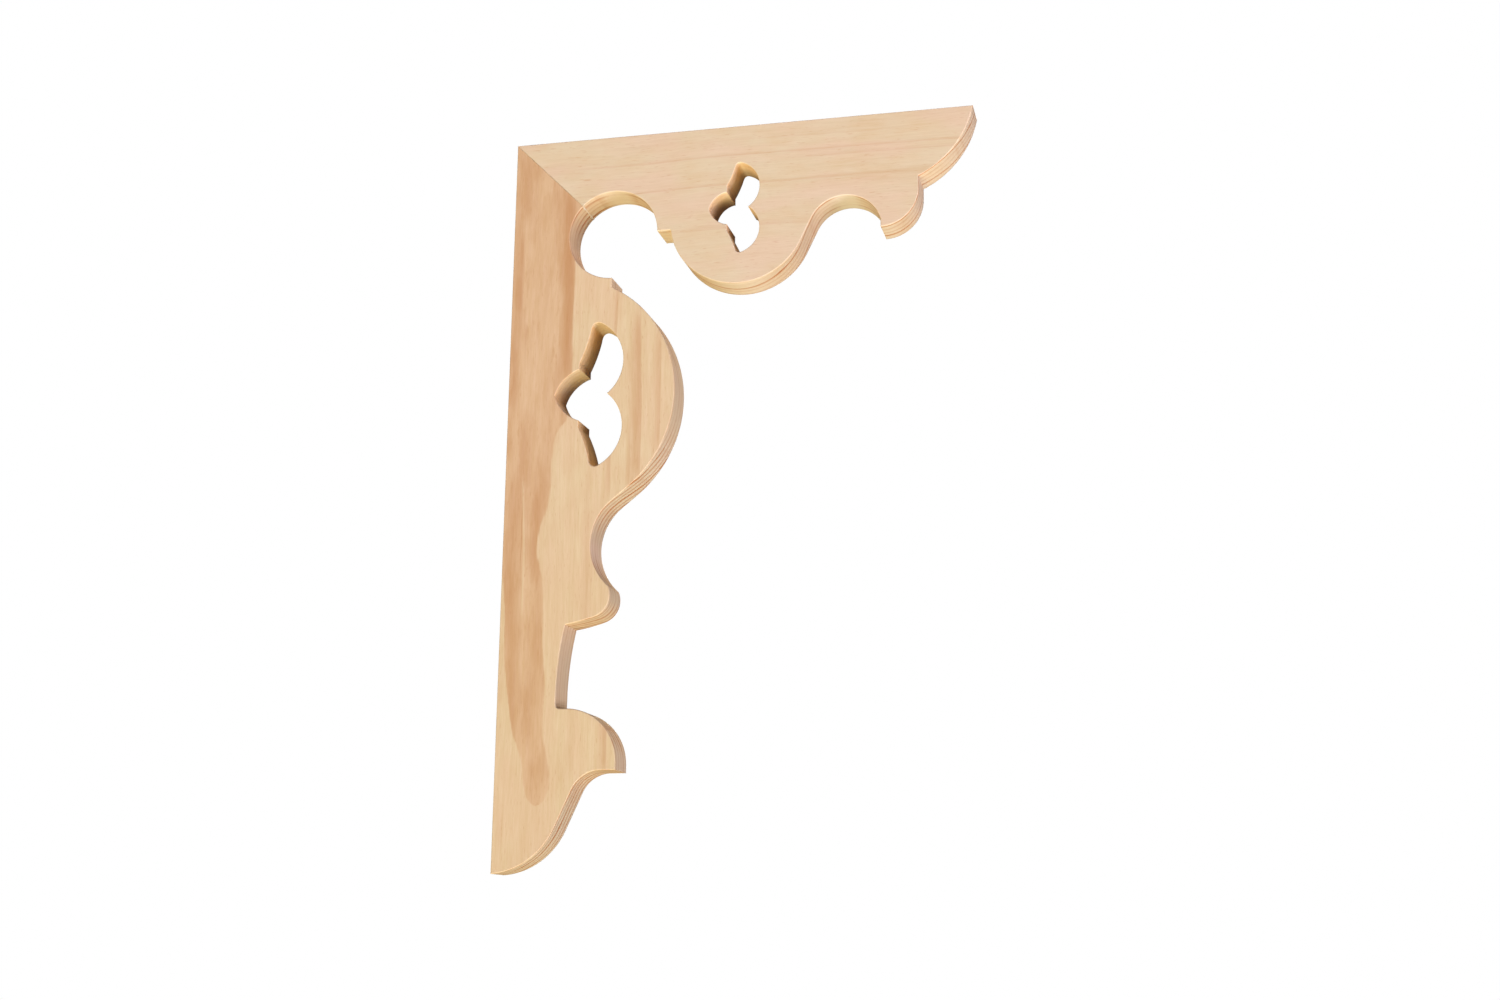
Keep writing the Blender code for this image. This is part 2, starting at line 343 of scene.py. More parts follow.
def arris_radii(points, outward, seam):
    """Arris radius at each point: the full one, less along the mitre or where the wood is narrow."""
    places = np.array(points)
    outer, inner = seam
    way = (inner - outer).normalized()
    radii = []
    for place, direction in zip(places, np.array(outward)):
        offset = places - place
        inward = -(offset @ direction)
        ahead = inward > MEDIAL_FLOOR
        fitting = (offset[ahead] ** 2).sum(1) / (2 * inward[ahead])
        from_seam = abs((place[0] - outer.x) * way.y - (place[1] - outer.y) * way.x)
        eased = SEAM_RADIUS + max(0.0, from_seam - SEAM_REACH)
        radii.append(min(ARRIS_RADIUS, eased, MEDIAL_SHARE * fitting.min(initial=1.0)))
    return radii


def section(radius):
    """Rows from the front to the back of a wall, as (deep, inset, whether the saw marked it)."""
    turns = [math.radians(90.0 * step / ARRIS_STEPS) for step in range(ARRIS_STEPS + 1)]
    arris = [(radius * (1 - math.cos(turn)), radius * (1 - math.sin(turn))) for turn in turns]
    wall = THICKNESS - 2 * radius
    rows = [(deep, inset, False) for deep, inset in arris]
    rows += [(radius + wall * row / WALL_ROWS, 0.0, True) for row in range(1, WALL_ROWS)]
    return rows + [(THICKNESS - deep, inset, False) for deep, inset in reversed(arris)]


def saw_mark(point, deep, travelled, depth):
    """How deep the saw bit at one place of a wall."""
    swell = noise.noise(Vector((point.x * SWELL_ALONG, deep * SWELL_DEEP, point.y * SWELL_ALONG)))
    phase = 2 * math.pi * (travelled + deep * SAW_SLANT) / SAW_PITCH + SWELL_PHASE * swell
    ripple = 0.5 + 0.5 * math.sin(phase)
    return depth * ripple * (1 - SWELL_SHARE + SWELL_SHARE * swell)


def wall_columns(builder, loop, seam):
    """Columns of new vertices from front to back, one for each point of the true outline."""
    points, outward, depths = round_outline(loop)
    radii = arris_radii(points, outward, seam)
    travelled = 0.0
    columns = []
    for i, point in enumerate(points):
        travelled += (point - points[i - 1]).length
        column = []
        for deep, inset, sawn in section(radii[i]):
            mark = saw_mark(point, deep, travelled, depths[i]) if sawn else 0.0
            place = point - outward[i] * (inset + mark)
            column.append(builder.verts.new((place.x, FRONT + deep, place.y)))
        columns.append(column)
    return columns


def new_object(name, builder, material):
    """The builder's mesh as an object of the scene."""
    mesh = bpy.data.meshes.new(name)
    builder.to_mesh(mesh)
    builder.free()
    mesh.materials.append(material)
    made = bpy.data.objects.new(name, mesh)
    bpy.context.scene.collection.objects.link(made)
    return made


def sawn_board(name, node, material):
    """A board with round arrises and saw marks that stands for its CAD node."""
    builder = bmesh.new()
    seam = mitre_ends()
    front_rims = []
    back_rims = []
    for loop in board_loops(node):
        columns = wall_columns(builder, loop, seam)
        for i, column in enumerate(columns):
            other = columns[i - 1]
            for row in range(len(column) - 1):
                builder.faces.new((other[row], column[row], column[row + 1], other[row + 1]))
            front_rims.append(builder.edges.get((other[0], column[0])))
            back_rims.append(builder.edges.get((other[-1], column[-1])))
    for edge in front_rims + back_rims:
        edge.smooth = False
    for rims in (front_rims, back_rims):
        bmesh.ops.triangle_fill(builder, use_beauty=True, use_dissolve=False, edges=rims)
    bmesh.ops.recalc_face_normals(builder, faces=builder.faces[:])
    for face in builder.faces:
        face.smooth = True
    for edge in builder.edges:
        if len(edge.link_faces) == 2 and edge.calc_face_angle(0.0) > math.radians(CREASE_ANGLE):
            edge.smooth = False
    board = new_object(name, builder, material)
    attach(board, "root")
    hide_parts(node)


def colour(red, green, blue):
    """Linear colour from display values of 0 to 255."""
    linear = []
    for value in (red, green, blue):
        share = value / 255
        linear.append(share / 12.92 if share <= 0.04045 else ((share + 0.055) / 1.055) ** 2.4)
    return (*linear, 1.0)


class Graph:
    """Short ways to build one material; a value is a number or the socket of another node."""

    def __init__(self, name):
        self.material = bpy.data.materials.new(name)
        self.material.use_nodes = True
        self.tree = self.material.node_tree
        self.shader = self.tree.nodes["Principled BSDF"]

    def set(self, socket, value):
        if isinstance(value, bpy.types.NodeSocket):
            self.tree.links.new(value, socket)
        else:
            socket.default_value = value

    def math(self, operation, *values):
        node = self.tree.nodes.new("ShaderNodeMath")
        node.operation = operation
        for socket, value in zip(node.inputs, values):
            self.set(socket, value)
        return node.outputs[0]

    def add(self, a, b):
        return self.math("ADD", a, b)

    def times(self, a, b):
        return self.math("MULTIPLY", a, b)

    def minus(self, a, b):
        return self.math("SUBTRACT", a, b)

    def smooth(self, value, low, high, start=0.0, end=1.0):
        """Eased step from start at low to end at high."""
        node = self.tree.nodes.new("ShaderNodeMapRange")
        node.interpolation_type = "SMOOTHSTEP"
        for key, setting in (("Value", value), ("From Min", low), ("From Max", high),
                             ("To Min", start), ("To Max", end)):
            self.set(node.inputs[key], setting)
        return node.outputs[0]

    def window(self, value, low, high, ease):
        """One between low and high, easing to nothing outside."""
        rise = self.smooth(value, low - ease, low + ease)
        return self.times(rise, self.smooth(value, high - ease, high + ease, 1.0, 0.0))

    def ridge(self, value, centre, half_width):
        """One at the centre, easing to nothing a half width away."""
        return self.smooth(self.math("ABSOLUTE", self.minus(value, centre)), 0.0, half_width, 1.0, 0.0)

    def growth(self, value, edge, width):
        """Rises over a width to one at the edge, then ends at once, as late wood does."""
        rise = self.smooth(value, edge - width, edge)
        return self.times(rise, self.smooth(value, edge, edge + STREAK_END, 1.0, 0.0))

    def noise(self, place, sizes, seed, detail=2.0, roughness=0.5):
        """Even noise about zero, with the feature size in millimetres along each axis."""
        parts = self.tree.nodes.new("ShaderNodeCombineXYZ")
        for socket, value, size in zip(parts.inputs, place, sizes):
            self.set(socket, self.math("MULTIPLY_ADD", value, 1 / size, seed * SEED_STRIDE))
        node = self.tree.nodes.new("ShaderNodeTexNoise")
        node.inputs["Scale"].default_value = 1.0
        node.inputs["Detail"].default_value = detail
        node.inputs["Roughness"].default_value = roughness
        self.set(node.inputs["Vector"], parts.outputs[0])
        return self.minus(node.outputs["Fac"], 0.5)

    def profile(self, value, span, height, points):
        """Smooth curve through (value, result) points, both in millimetres."""
        node = self.tree.nodes.new("ShaderNodeFloatCurve")
        curve = node.mapping.curves[0]
        scaled = [(x / span, y / height) for x, y in points]
        curve.points[0].location = scaled[0]
        curve.points[1].location = scaled[-1]
        for x, y in scaled[1:-1]:
            curve.points.new(x, y)
        node.mapping.use_clip = False
        node.mapping.update()
        self.set(node.inputs["Value"], self.times(value, 1 / span))
        return self.times(node.outputs[0], height)

    def mix(self, share, a, b, blend="MIX"):
        """The first colour, blended with the second as far as the share says."""
        node = self.tree.nodes.new("ShaderNodeMix")
        node.data_type = "RGBA"
        node.blend_type = blend
        self.set(node.inputs[0], share)
        self.set(node.inputs[6], a)
        self.set(node.inputs[7], b)
        return node.outputs[2]


def board_place(graph, grain_is_level):
    """Across, along and deep in millimetres, how far a surface faces along the grain, and if it is sawn."""
    coordinates = graph.tree.nodes.new("ShaderNodeTexCoord")
    parts = graph.tree.nodes.new("ShaderNodeSeparateXYZ")
    facing = graph.tree.nodes.new("ShaderNodeSeparateXYZ")
    graph.set(parts.inputs[0], coordinates.outputs["Object"])
    graph.set(facing.inputs[0], coordinates.outputs["Normal"])
    reach = graph.times(parts.outputs[0], MM)
    down = graph.math("MULTIPLY_ADD", parts.outputs[2], -MM, TOP * MM)
    deep = graph.math("MULTIPLY_ADD", parts.outputs[1], MM, -FRONT * MM)
    end = graph.math("ABSOLUTE", facing.outputs[0 if grain_is_level else 2])
    side = graph.smooth(graph.math("ABSOLUTE", facing.outputs[1]), *SAWN_FACING, 1.0, 0.0)
    return ((down, reach, deep) if grain_is_level else (reach, down, deep)), end, side


class Pine(Graph):
    """Bare dressed pine: growth rings about a far pith, fibres, blotches and, where given, a heart band.

    A look is in millimetres and shares. A streak is (dark edge, width, first, last, ease, share) and a
    heart's band (centre, half width, first, last, ease, share), both from first to last along the
    grain. A painted wall light is (across from, across to, along from, along to, tone), painted light
    that brightens single walls.
    """

    def __init__(self, name, grain_is_level, look):
        super().__init__(name)
        self.look = look
        self.place, self.end, self.side = board_place(self, grain_is_level)
        self.across, self.along, self.deep = self.place
        drift = self.times(self.figure("drift", self.place), look["drift"])
        waver = self.times(self.figure("waver", self.place), look["waver"])
        self.bent = self.add(self.across, self.add(drift, waver))
        with_grain = (self.bent, self.along, self.deep)
        self.streak = self.figure("streak", with_grain)
        self.fibre = self.figure("fibre", with_grain)
        canals = self.smooth(self.figure("canals", with_grain), *CANALS_SHOWN)

        across_low, across_high, along_low, along_high = look["opening"]
        self.in_opening = self.times(self.window(self.across, across_low, across_high, OPENING_EASE),
                                     self.window(self.along, along_low, along_high, OPENING_EASE))
        late = self.late_wood()
        wood = self.ringed_wood(late)
        if "heart" in look:
            wood = self.with_heart(wood)
        far = self.smooth(self.along, look["far_from"], look["far_from"] + FAR_EASE)
        wood = self.tint(wood, self.times(far, self.minus(1.0, self.side)), look["far_tint"])
        wood = self.mix(self.times(canals, look["canals"]), wood, look["line"])
        self.colour_surface(self.with_edge_tints(wood))
        self.finish_surface(late)

    def figure(self, name, place):
        """One of the wood's noises."""
        sizes, step, detail, roughness = NOISES[name]
        return self.noise(place, sizes, self.look["seed"] + step, detail, roughness)

    def tint(self, wood, share, tone):
        """The wood, multiplied by a tone as far as the share says."""
        return self.mix(share, wood, tone, "MULTIPLY")

    def late_wood(self):
        """Share of dark late wood: faint on the two faces, clear where a sawn edge cuts the rings."""
        look = self.look
        from_pith = self.minus(self.bent, look["pith_across"])
        pith_deep = self.math("MULTIPLY_ADD", self.along, look["pith_tilt"], look["pith_deep"])
        behind = self.minus(pith_deep, self.deep)
        radius = self.math("SQRT", self.add(self.times(from_pith, from_pith), self.times(behind, behind)))
        unrest = self.times(self.figure("unrest", self.place), look["unrest"])
        years = self.math("MULTIPLY_ADD", self.add(radius, unrest), 1 / look["ring"], look["ring_start"])
        ring = self.math("FRACT", years)
        ring_end = self.smooth(ring, FACE_FULL, 1.0, 1.0, 0.0)
        year = self.math("SINE", self.times(self.math("FLOOR", years), YEAR_TURN))
        year_share = self.math("MULTIPLY_ADD", year, look["year_vary"], 1 - look["year_vary"])

        patches = self.smooth(self.figure("patches", self.place), *PATCHES_SHOWN)
        on_face = self.times(self.smooth(ring, FACE_EARLY, FACE_FULL),
                             self.math("MULTIPLY_ADD", patches, FACE_PATCHY, 1 - FACE_PATCHY))
        on_edge = self.times(self.smooth(ring, look["edge_early"], EDGE_FULL),
                             self.math("MULTIPLY_ADD", patches, EDGE_PATCHY, 1 - EDGE_PATCHY))
        on_face = self.times(on_face, ring_end)
        on_edge = self.times(self.times(on_edge, ring_end), self.crossing())
        on_edge = self.times(on_edge, self.math("MULTIPLY_ADD", self.in_opening, -OPENING_PLAIN, 1.0))
        late = self.add(on_face, self.times(self.side, self.minus(on_edge, on_face)))
        return self.times(late, year_share)

    def crossing(self):
        """How clearly a sawn edge shows the rings: fully where it crosses the grain, near the tips
        and far from the board's outer edge."""
        look = self.look
        crossing = self.smooth(self.end, *CROSSING_FACING, look["plain_wall"], 1.0)
        far_edge = self.smooth(self.across, look["plain_until"], look["plain_until"] + PLAIN_EASE_ACROSS)
        far_end = self.smooth(self.along, look["plain_until_end"], look["plain_until_end"] + PLAIN_EASE_ALONG)
        far_end = self.times(far_end, self.smooth(self.across, *OUTER_EDGE))
        return self.math("MAXIMUM", crossing, self.math("MAXIMUM", far_edge, far_end))

    def ringed_wood(self, late):
        """Pale and warm wood with its rings and the single stronger ones."""
        look = self.look
        blotch = self.figure("blotch", self.place)
        blush = self.smooth(self.figure("blush", self.place), *BLUSH_SHOWN)
        wood = self.mix(self.smooth(blotch, *BLOTCH_SHOWN), look["pale"], look["warm"])
        wood = self.mix(self.times(blush, BLUSH_SHARE), wood, look["blush"])
        wood = self.mix(self.times(self.side, look["wall_share"]), wood, look["wall_pale"])
        strength = self.math("MULTIPLY_ADD", self.side, look["edge_line"] - look["face_line"],
                             look["face_line"])
        line = self.mix(self.side, look["line"], look["wall_line"])
        wood = self.mix(self.times(late, strength), wood, line)
        for edge, width, first, last, ease, share in look["streaks"]:
            band = self.times(self.growth(self.bent, edge, width), self.window(self.along, first, last, ease))
            wood = self.mix(self.times(band, share), wood, look["line"])
        return wood

    def with_heart(self, wood):
        """The wood with its heart band, which slants a little through the board."""
        look = self.look
        jag = self.times(self.figure("jag", self.place), look["heart_jag"])
        edge = self.add(self.across, jag)
        seen_along = self.math("MULTIPLY_ADD", self.deep, -look["heart_cone"], self.along)
        right = self.profile(seen_along, HEART_SPAN, HEART_WIDTH, look["heart"]["right"])
        left = self.profile(seen_along, HEART_SPAN, HEART_WIDTH, look["heart"]["left"])
        spread = self.times(self.deep, look["heart_spread"])
        in_right = self.smooth(self.minus(self.add(right, spread), edge), *HEART_RIGHT)
        in_left = self.smooth(self.minus(edge, self.minus(left, spread)), *HEART_LEFT)

        place = (edge, self.along, self.deep)
        cloud = self.add(self.figure("cloud", place), self.times(self.streak, CLOUD_STREAK))
        mottle = self.figure("mottle", place)
        heart = self.mix(self.smooth(cloud, *CLOUD_SHOWN), look["heart_pale"], look["heart_warm"])
        heart = self.mix(self.smooth(mottle, *MOTTLE_DEEP), heart, look["heart_deep"])
        heart = self.mix(self.smooth(mottle, *MOTTLE_PALE), heart, look["heart_pale"])
        lean = self.times(self.math("MAXIMUM", self.minus(GAP_LEAN_END, self.along), 0.0), GAP_LEAN)
        leaning = self.add(self.across, lean)
        for at, tone, bands in ((edge, look["heart_pale"], look["heart_light"]),
                                (edge, look["heart_deep"], look["heart_dark"]),
                                (leaning, look["pale"], look["heart_gap"])):
            for centre, half_width, first, last, ease, share in bands:
                band = self.times(self.ridge(at, centre, half_width),
                                  self.window(self.along, first, last, ease))
                heart = self.mix(self.times(band, share), heart, tone)
        paler = self.times(self.side, self.smooth(self.across, *HEART_PALES, 0.0, look["heart_pales"]))
        share = self.times(self.times(in_right, in_left), self.minus(look["heart_share"], paler))
        return self.mix(share, wood, heart)

    def with_edge_tints(self, wood):
        """The wood with the tints of its sawn edges: a tint on all of them, painted shade deepening into the
        openings, darker end grain, and painted light on single walls.
        """
        look = self.look
        wood = self.tint(wood, self.side, look["side_tint"])
        # Painted shade inside the openings, darker with depth from the front face; the look says how much of
        # it reaches level faces
        opening_shade_share = self.smooth(self.end, *LEVEL_FACING, 1.0, look["opening_shade_on_ends"])
        opening_shade_share = self.times(self.times(self.side, self.in_opening), opening_shade_share)
        opening_painted_shade = self.mix(self.smooth(self.deep, *OPENING_SHADE_DEPTH),
                                look["opening_shade_front"], look["opening_shade_back"])
        wood = self.tint(wood, opening_shade_share, opening_painted_shade)
        end_share = self.times(self.side, self.smooth(self.end, *END_FACING))
        wood = self.tint(wood, end_share, look["end_tint"])
        # Painted light: single walls brightened and tinted, standing in for more light falling on them
        for across_low, across_high, along_low, along_high, tone in look["painted_wall_light"]:
            lit_wall = self.times(self.window(self.across, across_low, across_high, LIT_WALL_EASE_ACROSS),
                              self.window(self.along, along_low, along_high, LIT_WALL_EASE_ALONG))
            wood = self.tint(wood, self.times(self.side, lit_wall), tone)
        return wood

    def colour_surface(self, wood):
        """Shades the wood by its fibres and its end grain, darkens walls short of the inner edge as painted
        shade, and gives it to the shader.
        """
        look = self.look
        grain = self.add(self.times(self.streak, look["streak"]), self.times(self.fibre, look["fibre"]))
        shade = self.math("MULTIPLY_ADD", self.times(self.end, self.side), -look["end_dark"], 1.0)
        # Painted shade: walls short of the inner edge are darkened, fading out across the band
        inner = self.times(self.side, self.smooth(self.across, *INNER_SHADE_FADE, look["inner_painted_shade"], 0.0))
        shade = self.add(self.minus(shade, inner), grain)
        shaded = self.tree.nodes.new("ShaderNodeHueSaturation")
        self.set(shaded.inputs["Value"], shade)
        self.set(shaded.inputs["Saturation"], self.math("MULTIPLY_ADD", grain, GRAIN_SATURATION, 1.0))
        self.set(shaded.inputs["Color"], wood)
        self.set(self.shader.inputs["Base Color"], shaded.outputs[0])

    def finish_surface(self, late):
        """Roughness and fine relief of planed fibres; late wood is a little smoother."""
        rough = self.math("MULTIPLY_ADD", self.fibre, FIBRE_ROUGH, self.look["rough"])
        self.set(self.shader.inputs["Roughness"], self.math("MULTIPLY_ADD", late, LATE_ROUGH, rough))
        self.shader.inputs["Specular IOR Level"].default_value = WOOD_SPECULAR
        bump = self.tree.nodes.new("ShaderNodeBump")
        bump.inputs["Strength"].default_value = BUMP_STRENGTH
        bump.inputs["Distance"].default_value = BUMP_DISTANCE
        self.set(bump.inputs["Height"], self.math("MULTIPLY_ADD", self.streak, BUMP_STREAK, self.fibre))
        self.set(self.shader.inputs["Normal"], bump.outputs[0])


# Right and left edges of the heart band on the front face, as (along, across) in millimetres
LEG_HEART = {
    "right": [(0, 67), (50, 65), (64, 60), (82, 54), (120, 54), (160, 53.5), (200, 54), (226, 52),
              (240, 50.5), (247, 45.5), (256, 41.5), (270, 39.2), (300, 38.4), (312, 37), (322, 33.5),
              (334, 30), (346, 29), (360, 31.5), (380, 35), (420, 36), (460, 39), (490, 38.5),
              (505, 41), (530, 45), (541, 43), (549, 36), (553, 26), (620, 10)],
    "left": [(0, -8), (300, -6), (340, -3.5), (362, 0), (400, 3.8), (440, 5.5), (465, 9), (490, 13.5),
             (508, 19.6), (519, 22.6), (531, 24.4), (541, 26.6), (547, 31), (551, 38), (555, 47),
             (620, 60)],
}

# Looks of the two boards, in millimetres and shares
LEG_LOOK = {
    "seed": 1.0,
    "drift": 9.0, "waver": 1.6, "unrest": 5.0,
    "pith_across": 33.0, "pith_deep": 195.0, "pith_tilt": 0.02,
    "ring": 6.0, "ring_start": 0.35, "year_vary": 0.28, "edge_early": 0.45,
    "face_line": 0.17, "edge_line": 1.6,
    "plain_wall": 0.3, "plain_until": 900.0, "plain_until_end": 540.0,
    # Where the openings are, and their painted shade: a front tone, a dark back tone and its share on level
    # faces
    "opening": (37, 99, 157, 285), "opening_shade_on_ends": 0.0,
    "opening_shade_front": (1.08, 0.97, 0.80, 1.0), "opening_shade_back": (0.60, 0.50, 0.40, 1.0),
    "side_tint": (1.0, 0.97, 0.80, 1.0), "end_tint": (1.0, 1.0, 1.0, 1.0),
    "far_from": 300.0, "far_tint": (0.985, 0.99, 0.95, 1.0),
    # Painted light on single walls, as (across from, across to, along from, along to, tone)
    "painted_wall_light": [(4, 200, 547, 700, (1.03, 1.09, 1.12, 1.0)), (42, 64, 90, 124, (1.21, 1.20, 1.24, 1.0)),
                   (68, 90, 342, 364, (1.12, 1.10, 1.17, 1.0)), (84, 150, 262, 316, (1.02, 1.07, 1.15, 1.0))],
    # Painted shade on walls short of the inner edge, and darker end grain
    "inner_painted_shade": 0.08, "end_dark": 0.05,
    "pale": colour(232, 205, 158), "warm": colour(228, 196, 149), "blush": colour(232, 198, 154),
    "line": colour(202, 143, 92), "wall_line": colour(196, 124, 70),
    "wall_pale": colour(232, 203, 158), "wall_share": 0.4,
    "streaks": [(112.5, 13, 160, 290, 14, 0.42), (128, 8, 172, 268, 14, 0.32),
                (92.5, 4, 132, 205, 12, 0.34), (88, 5, 262, 305, 12, 0.34), (90, 8, 486, 519, 8, 0.40),
                (72, 9, 290, 400, 30, 0.14), (10, 7, 554, 584, 9, 0.14), (104, 4, 250, 300, 14, 0.22)],
    "heart": LEG_HEART, "heart_jag": 3.0, "heart_cone": 1.4, "heart_spread": 0.35,
    "heart_share": 0.94, "heart_pales": 0.80,
    "heart_pale": colour(226, 187, 141), "heart_warm": colour(214, 169, 121),
    "heart_deep": colour(201, 146, 94),
    "heart_light": [(28, 15, 70, 200, 40, 0.55), (22, 3, 240, 300, 16, 0.45), (24, 3, 250, 285, 12, 0.30)],
    "heart_dark": [(10, 7, 18, 66, 10, 0.55), (4, 8, 60, 235, 20, 0.45), (7.5, 3, 82, 145, 8, 0.60),
                   (47, 8, 45, 130, 14, 0.55), (49, 9, 50, 205, 14, 0.80), (5.5, 3.5, 118, 146, 5, 0.5),
                   (33, 8, 235, 325, 18, 0.20), (13, 5, 240, 300, 18, 0.45), (28, 8, 300, 372, 14, 0.65),
                   (8, 11, 290, 420, 24, 0.55), (15.6, 0.9, 285, 360, 10, 0.80),
                   (31, 8, 370, 540, 20, 0.20), (12, 9, 405, 500, 20, 0.46), (24, 5, 400, 500, 20, 0.18)],
    "heart_gap": [(18.2, 1.4, 290, 398, 9, 0.60)],
    "streak": 0.10, "fibre": 0.16, "canals": 0.35, "rough": 0.56,
}

ARM_LOOK = {
    "seed": 7.0,
    "drift": 12.0, "waver": 1.8, "unrest": 5.0,
    "pith_across": 72.0, "pith_deep": 190.0, "pith_tilt": -0.02,
    "ring": 6.6, "ring_start": 0.1, "year_vary": 0.46, "edge_early": 0.48,
    "face_line": 0.12, "edge_line": 1.1,
    "plain_wall": 0.15, "plain_until": 76.0, "plain_until_end": 900.0,
    # Where the openings are, and their painted shade: a front tone, a dark back tone and its share on level
    # faces
    "opening": (28, 113, 160, 214), "opening_shade_on_ends": 1.0,
    "opening_shade_front": (1.08, 1.02, 0.93, 1.0), "opening_shade_back": (0.58, 0.51, 0.44, 1.0),
    "side_tint": (1.0, 0.98, 0.86, 1.0), "end_tint": (0.94, 0.87, 0.77, 1.0),
    "far_from": 200.0, "far_tint": (0.995, 0.985, 0.985, 1.0),
    # Painted light on single walls, as (across from, across to, along from, along to, tone)
    "painted_wall_light": [(4, 200, 331, 500, (1.09, 1.13, 1.18, 1.0)), (60, 84, 256, 300, (1.03, 1.09, 1.22, 1.0))],
    # No painted shade on the arm's walls short of its inner edge; darker end grain
    "inner_painted_shade": 0.0, "end_dark": 0.05,
    "pale": colour(231, 208, 169), "warm": colour(229, 201, 158), "blush": colour(234, 202, 168),
    "line": colour(206, 148, 96), "wall_line": colour(198, 126, 68),
    "wall_pale": colour(236, 211, 171), "wall_share": 0.75,
    "streaks": [(26.5, 2.6, 60, 380, 20, 0.24), (51.5, 2.8, 60, 330, 20, 0.24),
                (33, 3.2, 240, 380, 20, 0.18), (89, 6, 140, 300, 20, 0.16), (13, 3, 150, 330, 30, 0.10),
                (36.5, 1.4, 59, 65, 2, 0.45)],
    "streak": 0.09, "fibre": 0.14, "canals": 0.30, "rough": 0.56,
}


def glue_material():
    """Dried clear-yellow wood glue."""
    graph = Graph("dried glue")
    place, _, _ = board_place(graph, True)
    cloud = graph.noise(place, GLUE_CLOUD_SIZES, GLUE_CLOUD_SEED, GLUE_CLOUD_DETAIL)
    tone = graph.mix(graph.smooth(cloud, *GLUE_CLOUDED), colour(*GLUE_CLEAR), colour(*GLUE_YELLOW))
    rough = graph.math("MULTIPLY_ADD", cloud, GLUE_ROUGH_VARY, GLUE_ROUGH)
    graph.set(graph.shader.inputs["Base Color"], tone)
    graph.set(graph.shader.inputs["Roughness"], rough)
    return graph.material


def mitre_ends():
    """Outer corner and cove end of the mitre, in the middle between the two boards, as (x, z)."""
    leg = board_loops("post_leg")[0]
    arm = board_loops("beam_arm")[0]
    seam = []
    for x, z in leg:
        nearest = min(arm, key=lambda other: math.dist(other, (x, z)))
        if math.dist(nearest, (x, z)) < MITRE_WIDEST:
            seam.append(((x + nearest[0]) / 2, (z + nearest[1]) / 2))
    seam.sort()
    return Vector(seam[0]), Vector(seam[-1])


def mitre_glue():
    """Glue that fills the mitre, with a thin bead squeezed out in the cove."""
    outer, inner = mitre_ends()
    way = (inner - outer).normalized()
    across = Vector((way.y, -way.x))
    builder = bmesh.new()
    sections = []
    for step in range(GLUE_STEPS + 1):
        y = FRONT + GLUE_RECESS + (THICKNESS - 2 * GLUE_RECESS) * step / GLUE_STEPS
        uneven = noise.noise(Vector((VARY_AT[0], y * VARY_SCALE, VARY_AT[1])))
        lump = noise.noise(Vector((LUMP_AT[0], y * LUMP_SCALE, LUMP_AT[1])))
        reach = BEAD_REACH + REACH_VARY * uneven
        width = BEAD_WIDTH + WIDTH_VARY * uneven + LUMP_WIDTH * lump
        start = outer + way * GLUE_START
        root = inner - way * BEAD_ROOT
        shape = [start - across * GLUE_HALF, root - across * GLUE_HALF]
        for turn in range(BEAD_STEPS + 1):
            angle = math.pi * turn / BEAD_STEPS
            forward = reach * math.sin(angle) - BEAD_TUCK * (1 - math.sin(angle))
            shape.append(inner + way * forward - across * (width * math.cos(angle)))
        shape += [root + across * GLUE_HALF, start + across * GLUE_HALF]
        sections.append([builder.verts.new((p.x, y, p.y)) for p in shape])
    for first, second in zip(sections, sections[1:]):
        for i in range(len(first)):
            builder.faces.new((first[i - 1], first[i], second[i], second[i - 1]))
    builder.faces.new(sections[0])
    builder.faces.new(sections[-1])
    bmesh.ops.triangulate(builder, faces=[f for f in builder.faces if len(f.verts) > 4])
    bmesh.ops.recalc_face_normals(builder, faces=builder.faces[:])
    for face in builder.faces:
        face.smooth = True
    for edge in builder.edges:
        edge.smooth = edge.calc_face_angle(0.0) < math.radians(GLUE_CREASE)
    glue = new_object("mitre_glue", builder, glue_material())
    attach(glue, "root")


sawn_board("leg_board", "post_leg", Pine("pine with heart band", False, LEG_LOOK).material)
sawn_board("arm_board", "beam_arm", Pine("pale pine", True, ARM_LOOK).material)
mitre_glue()


def glowing(name, tone):
    """Studio surface that shows one even tone, whatever light falls on it."""
    graph = Graph(name)
    graph.shader.inputs["Base Color"].default_value = (0.0, 0.0, 0.0, 1.0)
    graph.shader.inputs["Roughness"].default_value = 1.0
    graph.shader.inputs["Specular IOR Level"].default_value = 0.0
    graph.shader.inputs["Emission Color"].default_value = tone
    graph.shader.inputs["Emission Strength"].default_value = 1.0
    return graph.material


def studio():
    """Pale floor far below the hung bracket, and a white surround; neither gives or takes light."""
    centre_x, centre_y, _ = STUDIO_CENTRE
    bpy.ops.mesh.primitive_circle_add(vertices=FLOOR_CORNERS, radius=FLOOR_RADIUS, fill_type="NGON",
                                      location=(centre_x, centre_y, FLOOR_HEIGHT))
    floor = bpy.context.object
    floor.name = "floor"
    floor.data.materials.append(glowing("floor", FLOOR_TONE))
    bpy.ops.mesh.primitive_uv_sphere_add(segments=SURROUND_SEGMENTS, ring_count=SURROUND_RINGS,
                                         radius=SURROUND_RADIUS, location=STUDIO_CENTRE)
    surround = bpy.context.object
    surround.name = "surround"
    surround.data.materials.append(glowing("surround", SURROUND_TONE))
    for surface in (floor, surround):
        surface.visible_diffuse = False
        surface.visible_glossy = False
        surface.visible_shadow = False
    surround.visible_transmission = False


def sun():
    """Wide key light from the front and below."""
    data = bpy.data.lights.new("key", "SUN")
    data.energy = KEY_STRENGTH
    data.color = KEY_TONE
    data.angle = math.radians(KEY_ANGLE)
    key = bpy.data.objects.new("key", data)
    key.rotation_euler = (-Vector(KEY_FROM)).to_track_quat("-Z", "Y").to_euler()
    bpy.context.scene.collection.objects.link(key)


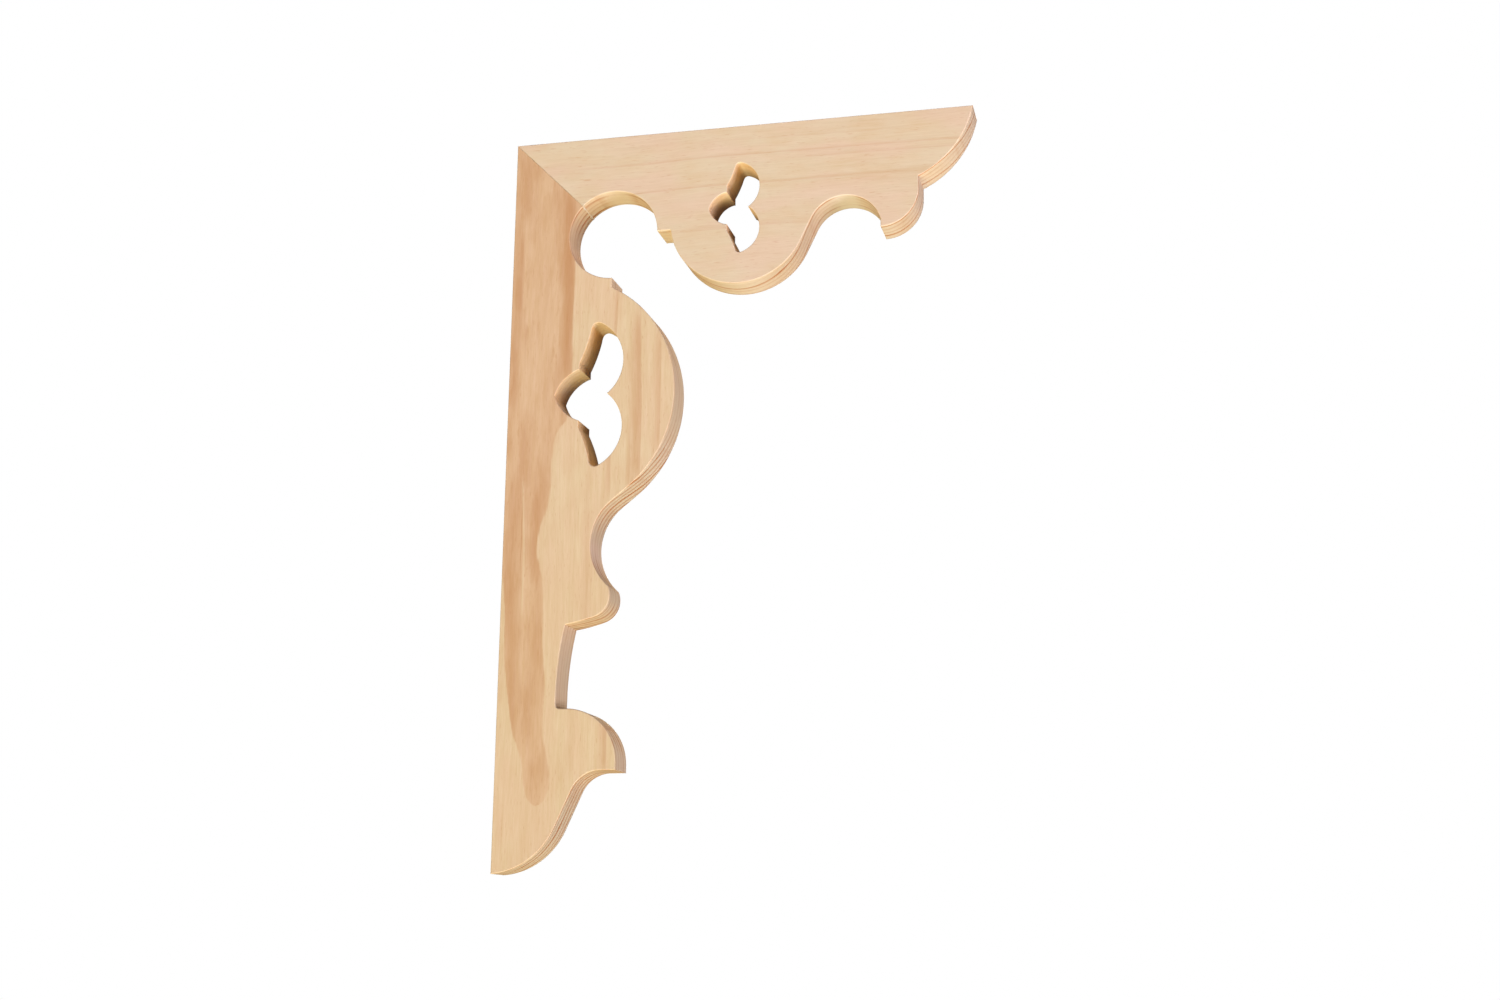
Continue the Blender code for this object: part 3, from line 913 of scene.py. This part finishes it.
def lamp(name, place, power, tone, glints):
    """Large square light that faces the bracket."""
    data = bpy.data.lights.new(name, "AREA")
    data.shape = "SQUARE"
    data.size = LAMP_SIZE
    data.energy = power
    data.color = tone
    light = bpy.data.objects.new(name, data)
    light.location = place
    light.rotation_euler = (Vector(STUDIO_CENTRE) - Vector(place)).to_track_quat("-Z", "Y").to_euler()
    light.visible_glossy = glints
    bpy.context.scene.collection.objects.link(light)


def faint_world():
    """Weak even light, stronger on the front of the bracket than on its back."""
    world = bpy.data.worlds.new("studio")
    bpy.context.scene.world = world
    world.use_nodes = True
    nodes = world.node_tree.nodes
    links = world.node_tree.links
    direction = nodes.new("ShaderNodeTexCoord")
    parts = nodes.new("ShaderNodeSeparateXYZ")
    strength = nodes.new("ShaderNodeMapRange")
    strength.interpolation_type = "SMOOTHSTEP"
    for key, value in (("From Min", -WORLD_EDGE), ("From Max", WORLD_EDGE),
                       ("To Min", WORLD_FRONT), ("To Max", WORLD_BACK)):
        strength.inputs[key].default_value = value
    links.new(direction.outputs["Generated"], parts.inputs[0])
    links.new(parts.outputs["Y"], strength.inputs["Value"])
    links.new(strength.outputs[0], nodes["Background"].inputs["Strength"])
    nodes["Background"].inputs["Color"].default_value = WORLD_TONE


def lights():
    """The sun, lamps on the right, above and behind, and a faint world."""
    sun()
    for settings in LAMPS:
        lamp(*settings)
    faint_world()


def camera():
    """Camera at the photograph's place: low, in front and to the right, looking up at the bracket."""
    data = bpy.data.cameras.new("camera")
    data.sensor_width = CAMERA_SENSOR
    data.lens = CAMERA_LENS
    data.clip_start = CAMERA_NEAR
    data.clip_end = CAMERA_FAR
    view = bpy.data.objects.new("camera", data)
    view.location = CAMERA_PLACE
    turn = Euler((math.radians(90 + CAMERA_RISE), 0.0, math.radians(CAMERA_TURN))).to_matrix()
    view.rotation_euler = (turn @ Matrix.Rotation(math.radians(CAMERA_ROLL), 3, "Z")).to_euler()
    bpy.context.scene.collection.objects.link(view)
    bpy.context.scene.camera = view


studio()
lights()
camera()
bpy.context.scene.view_settings.view_transform = "Standard"
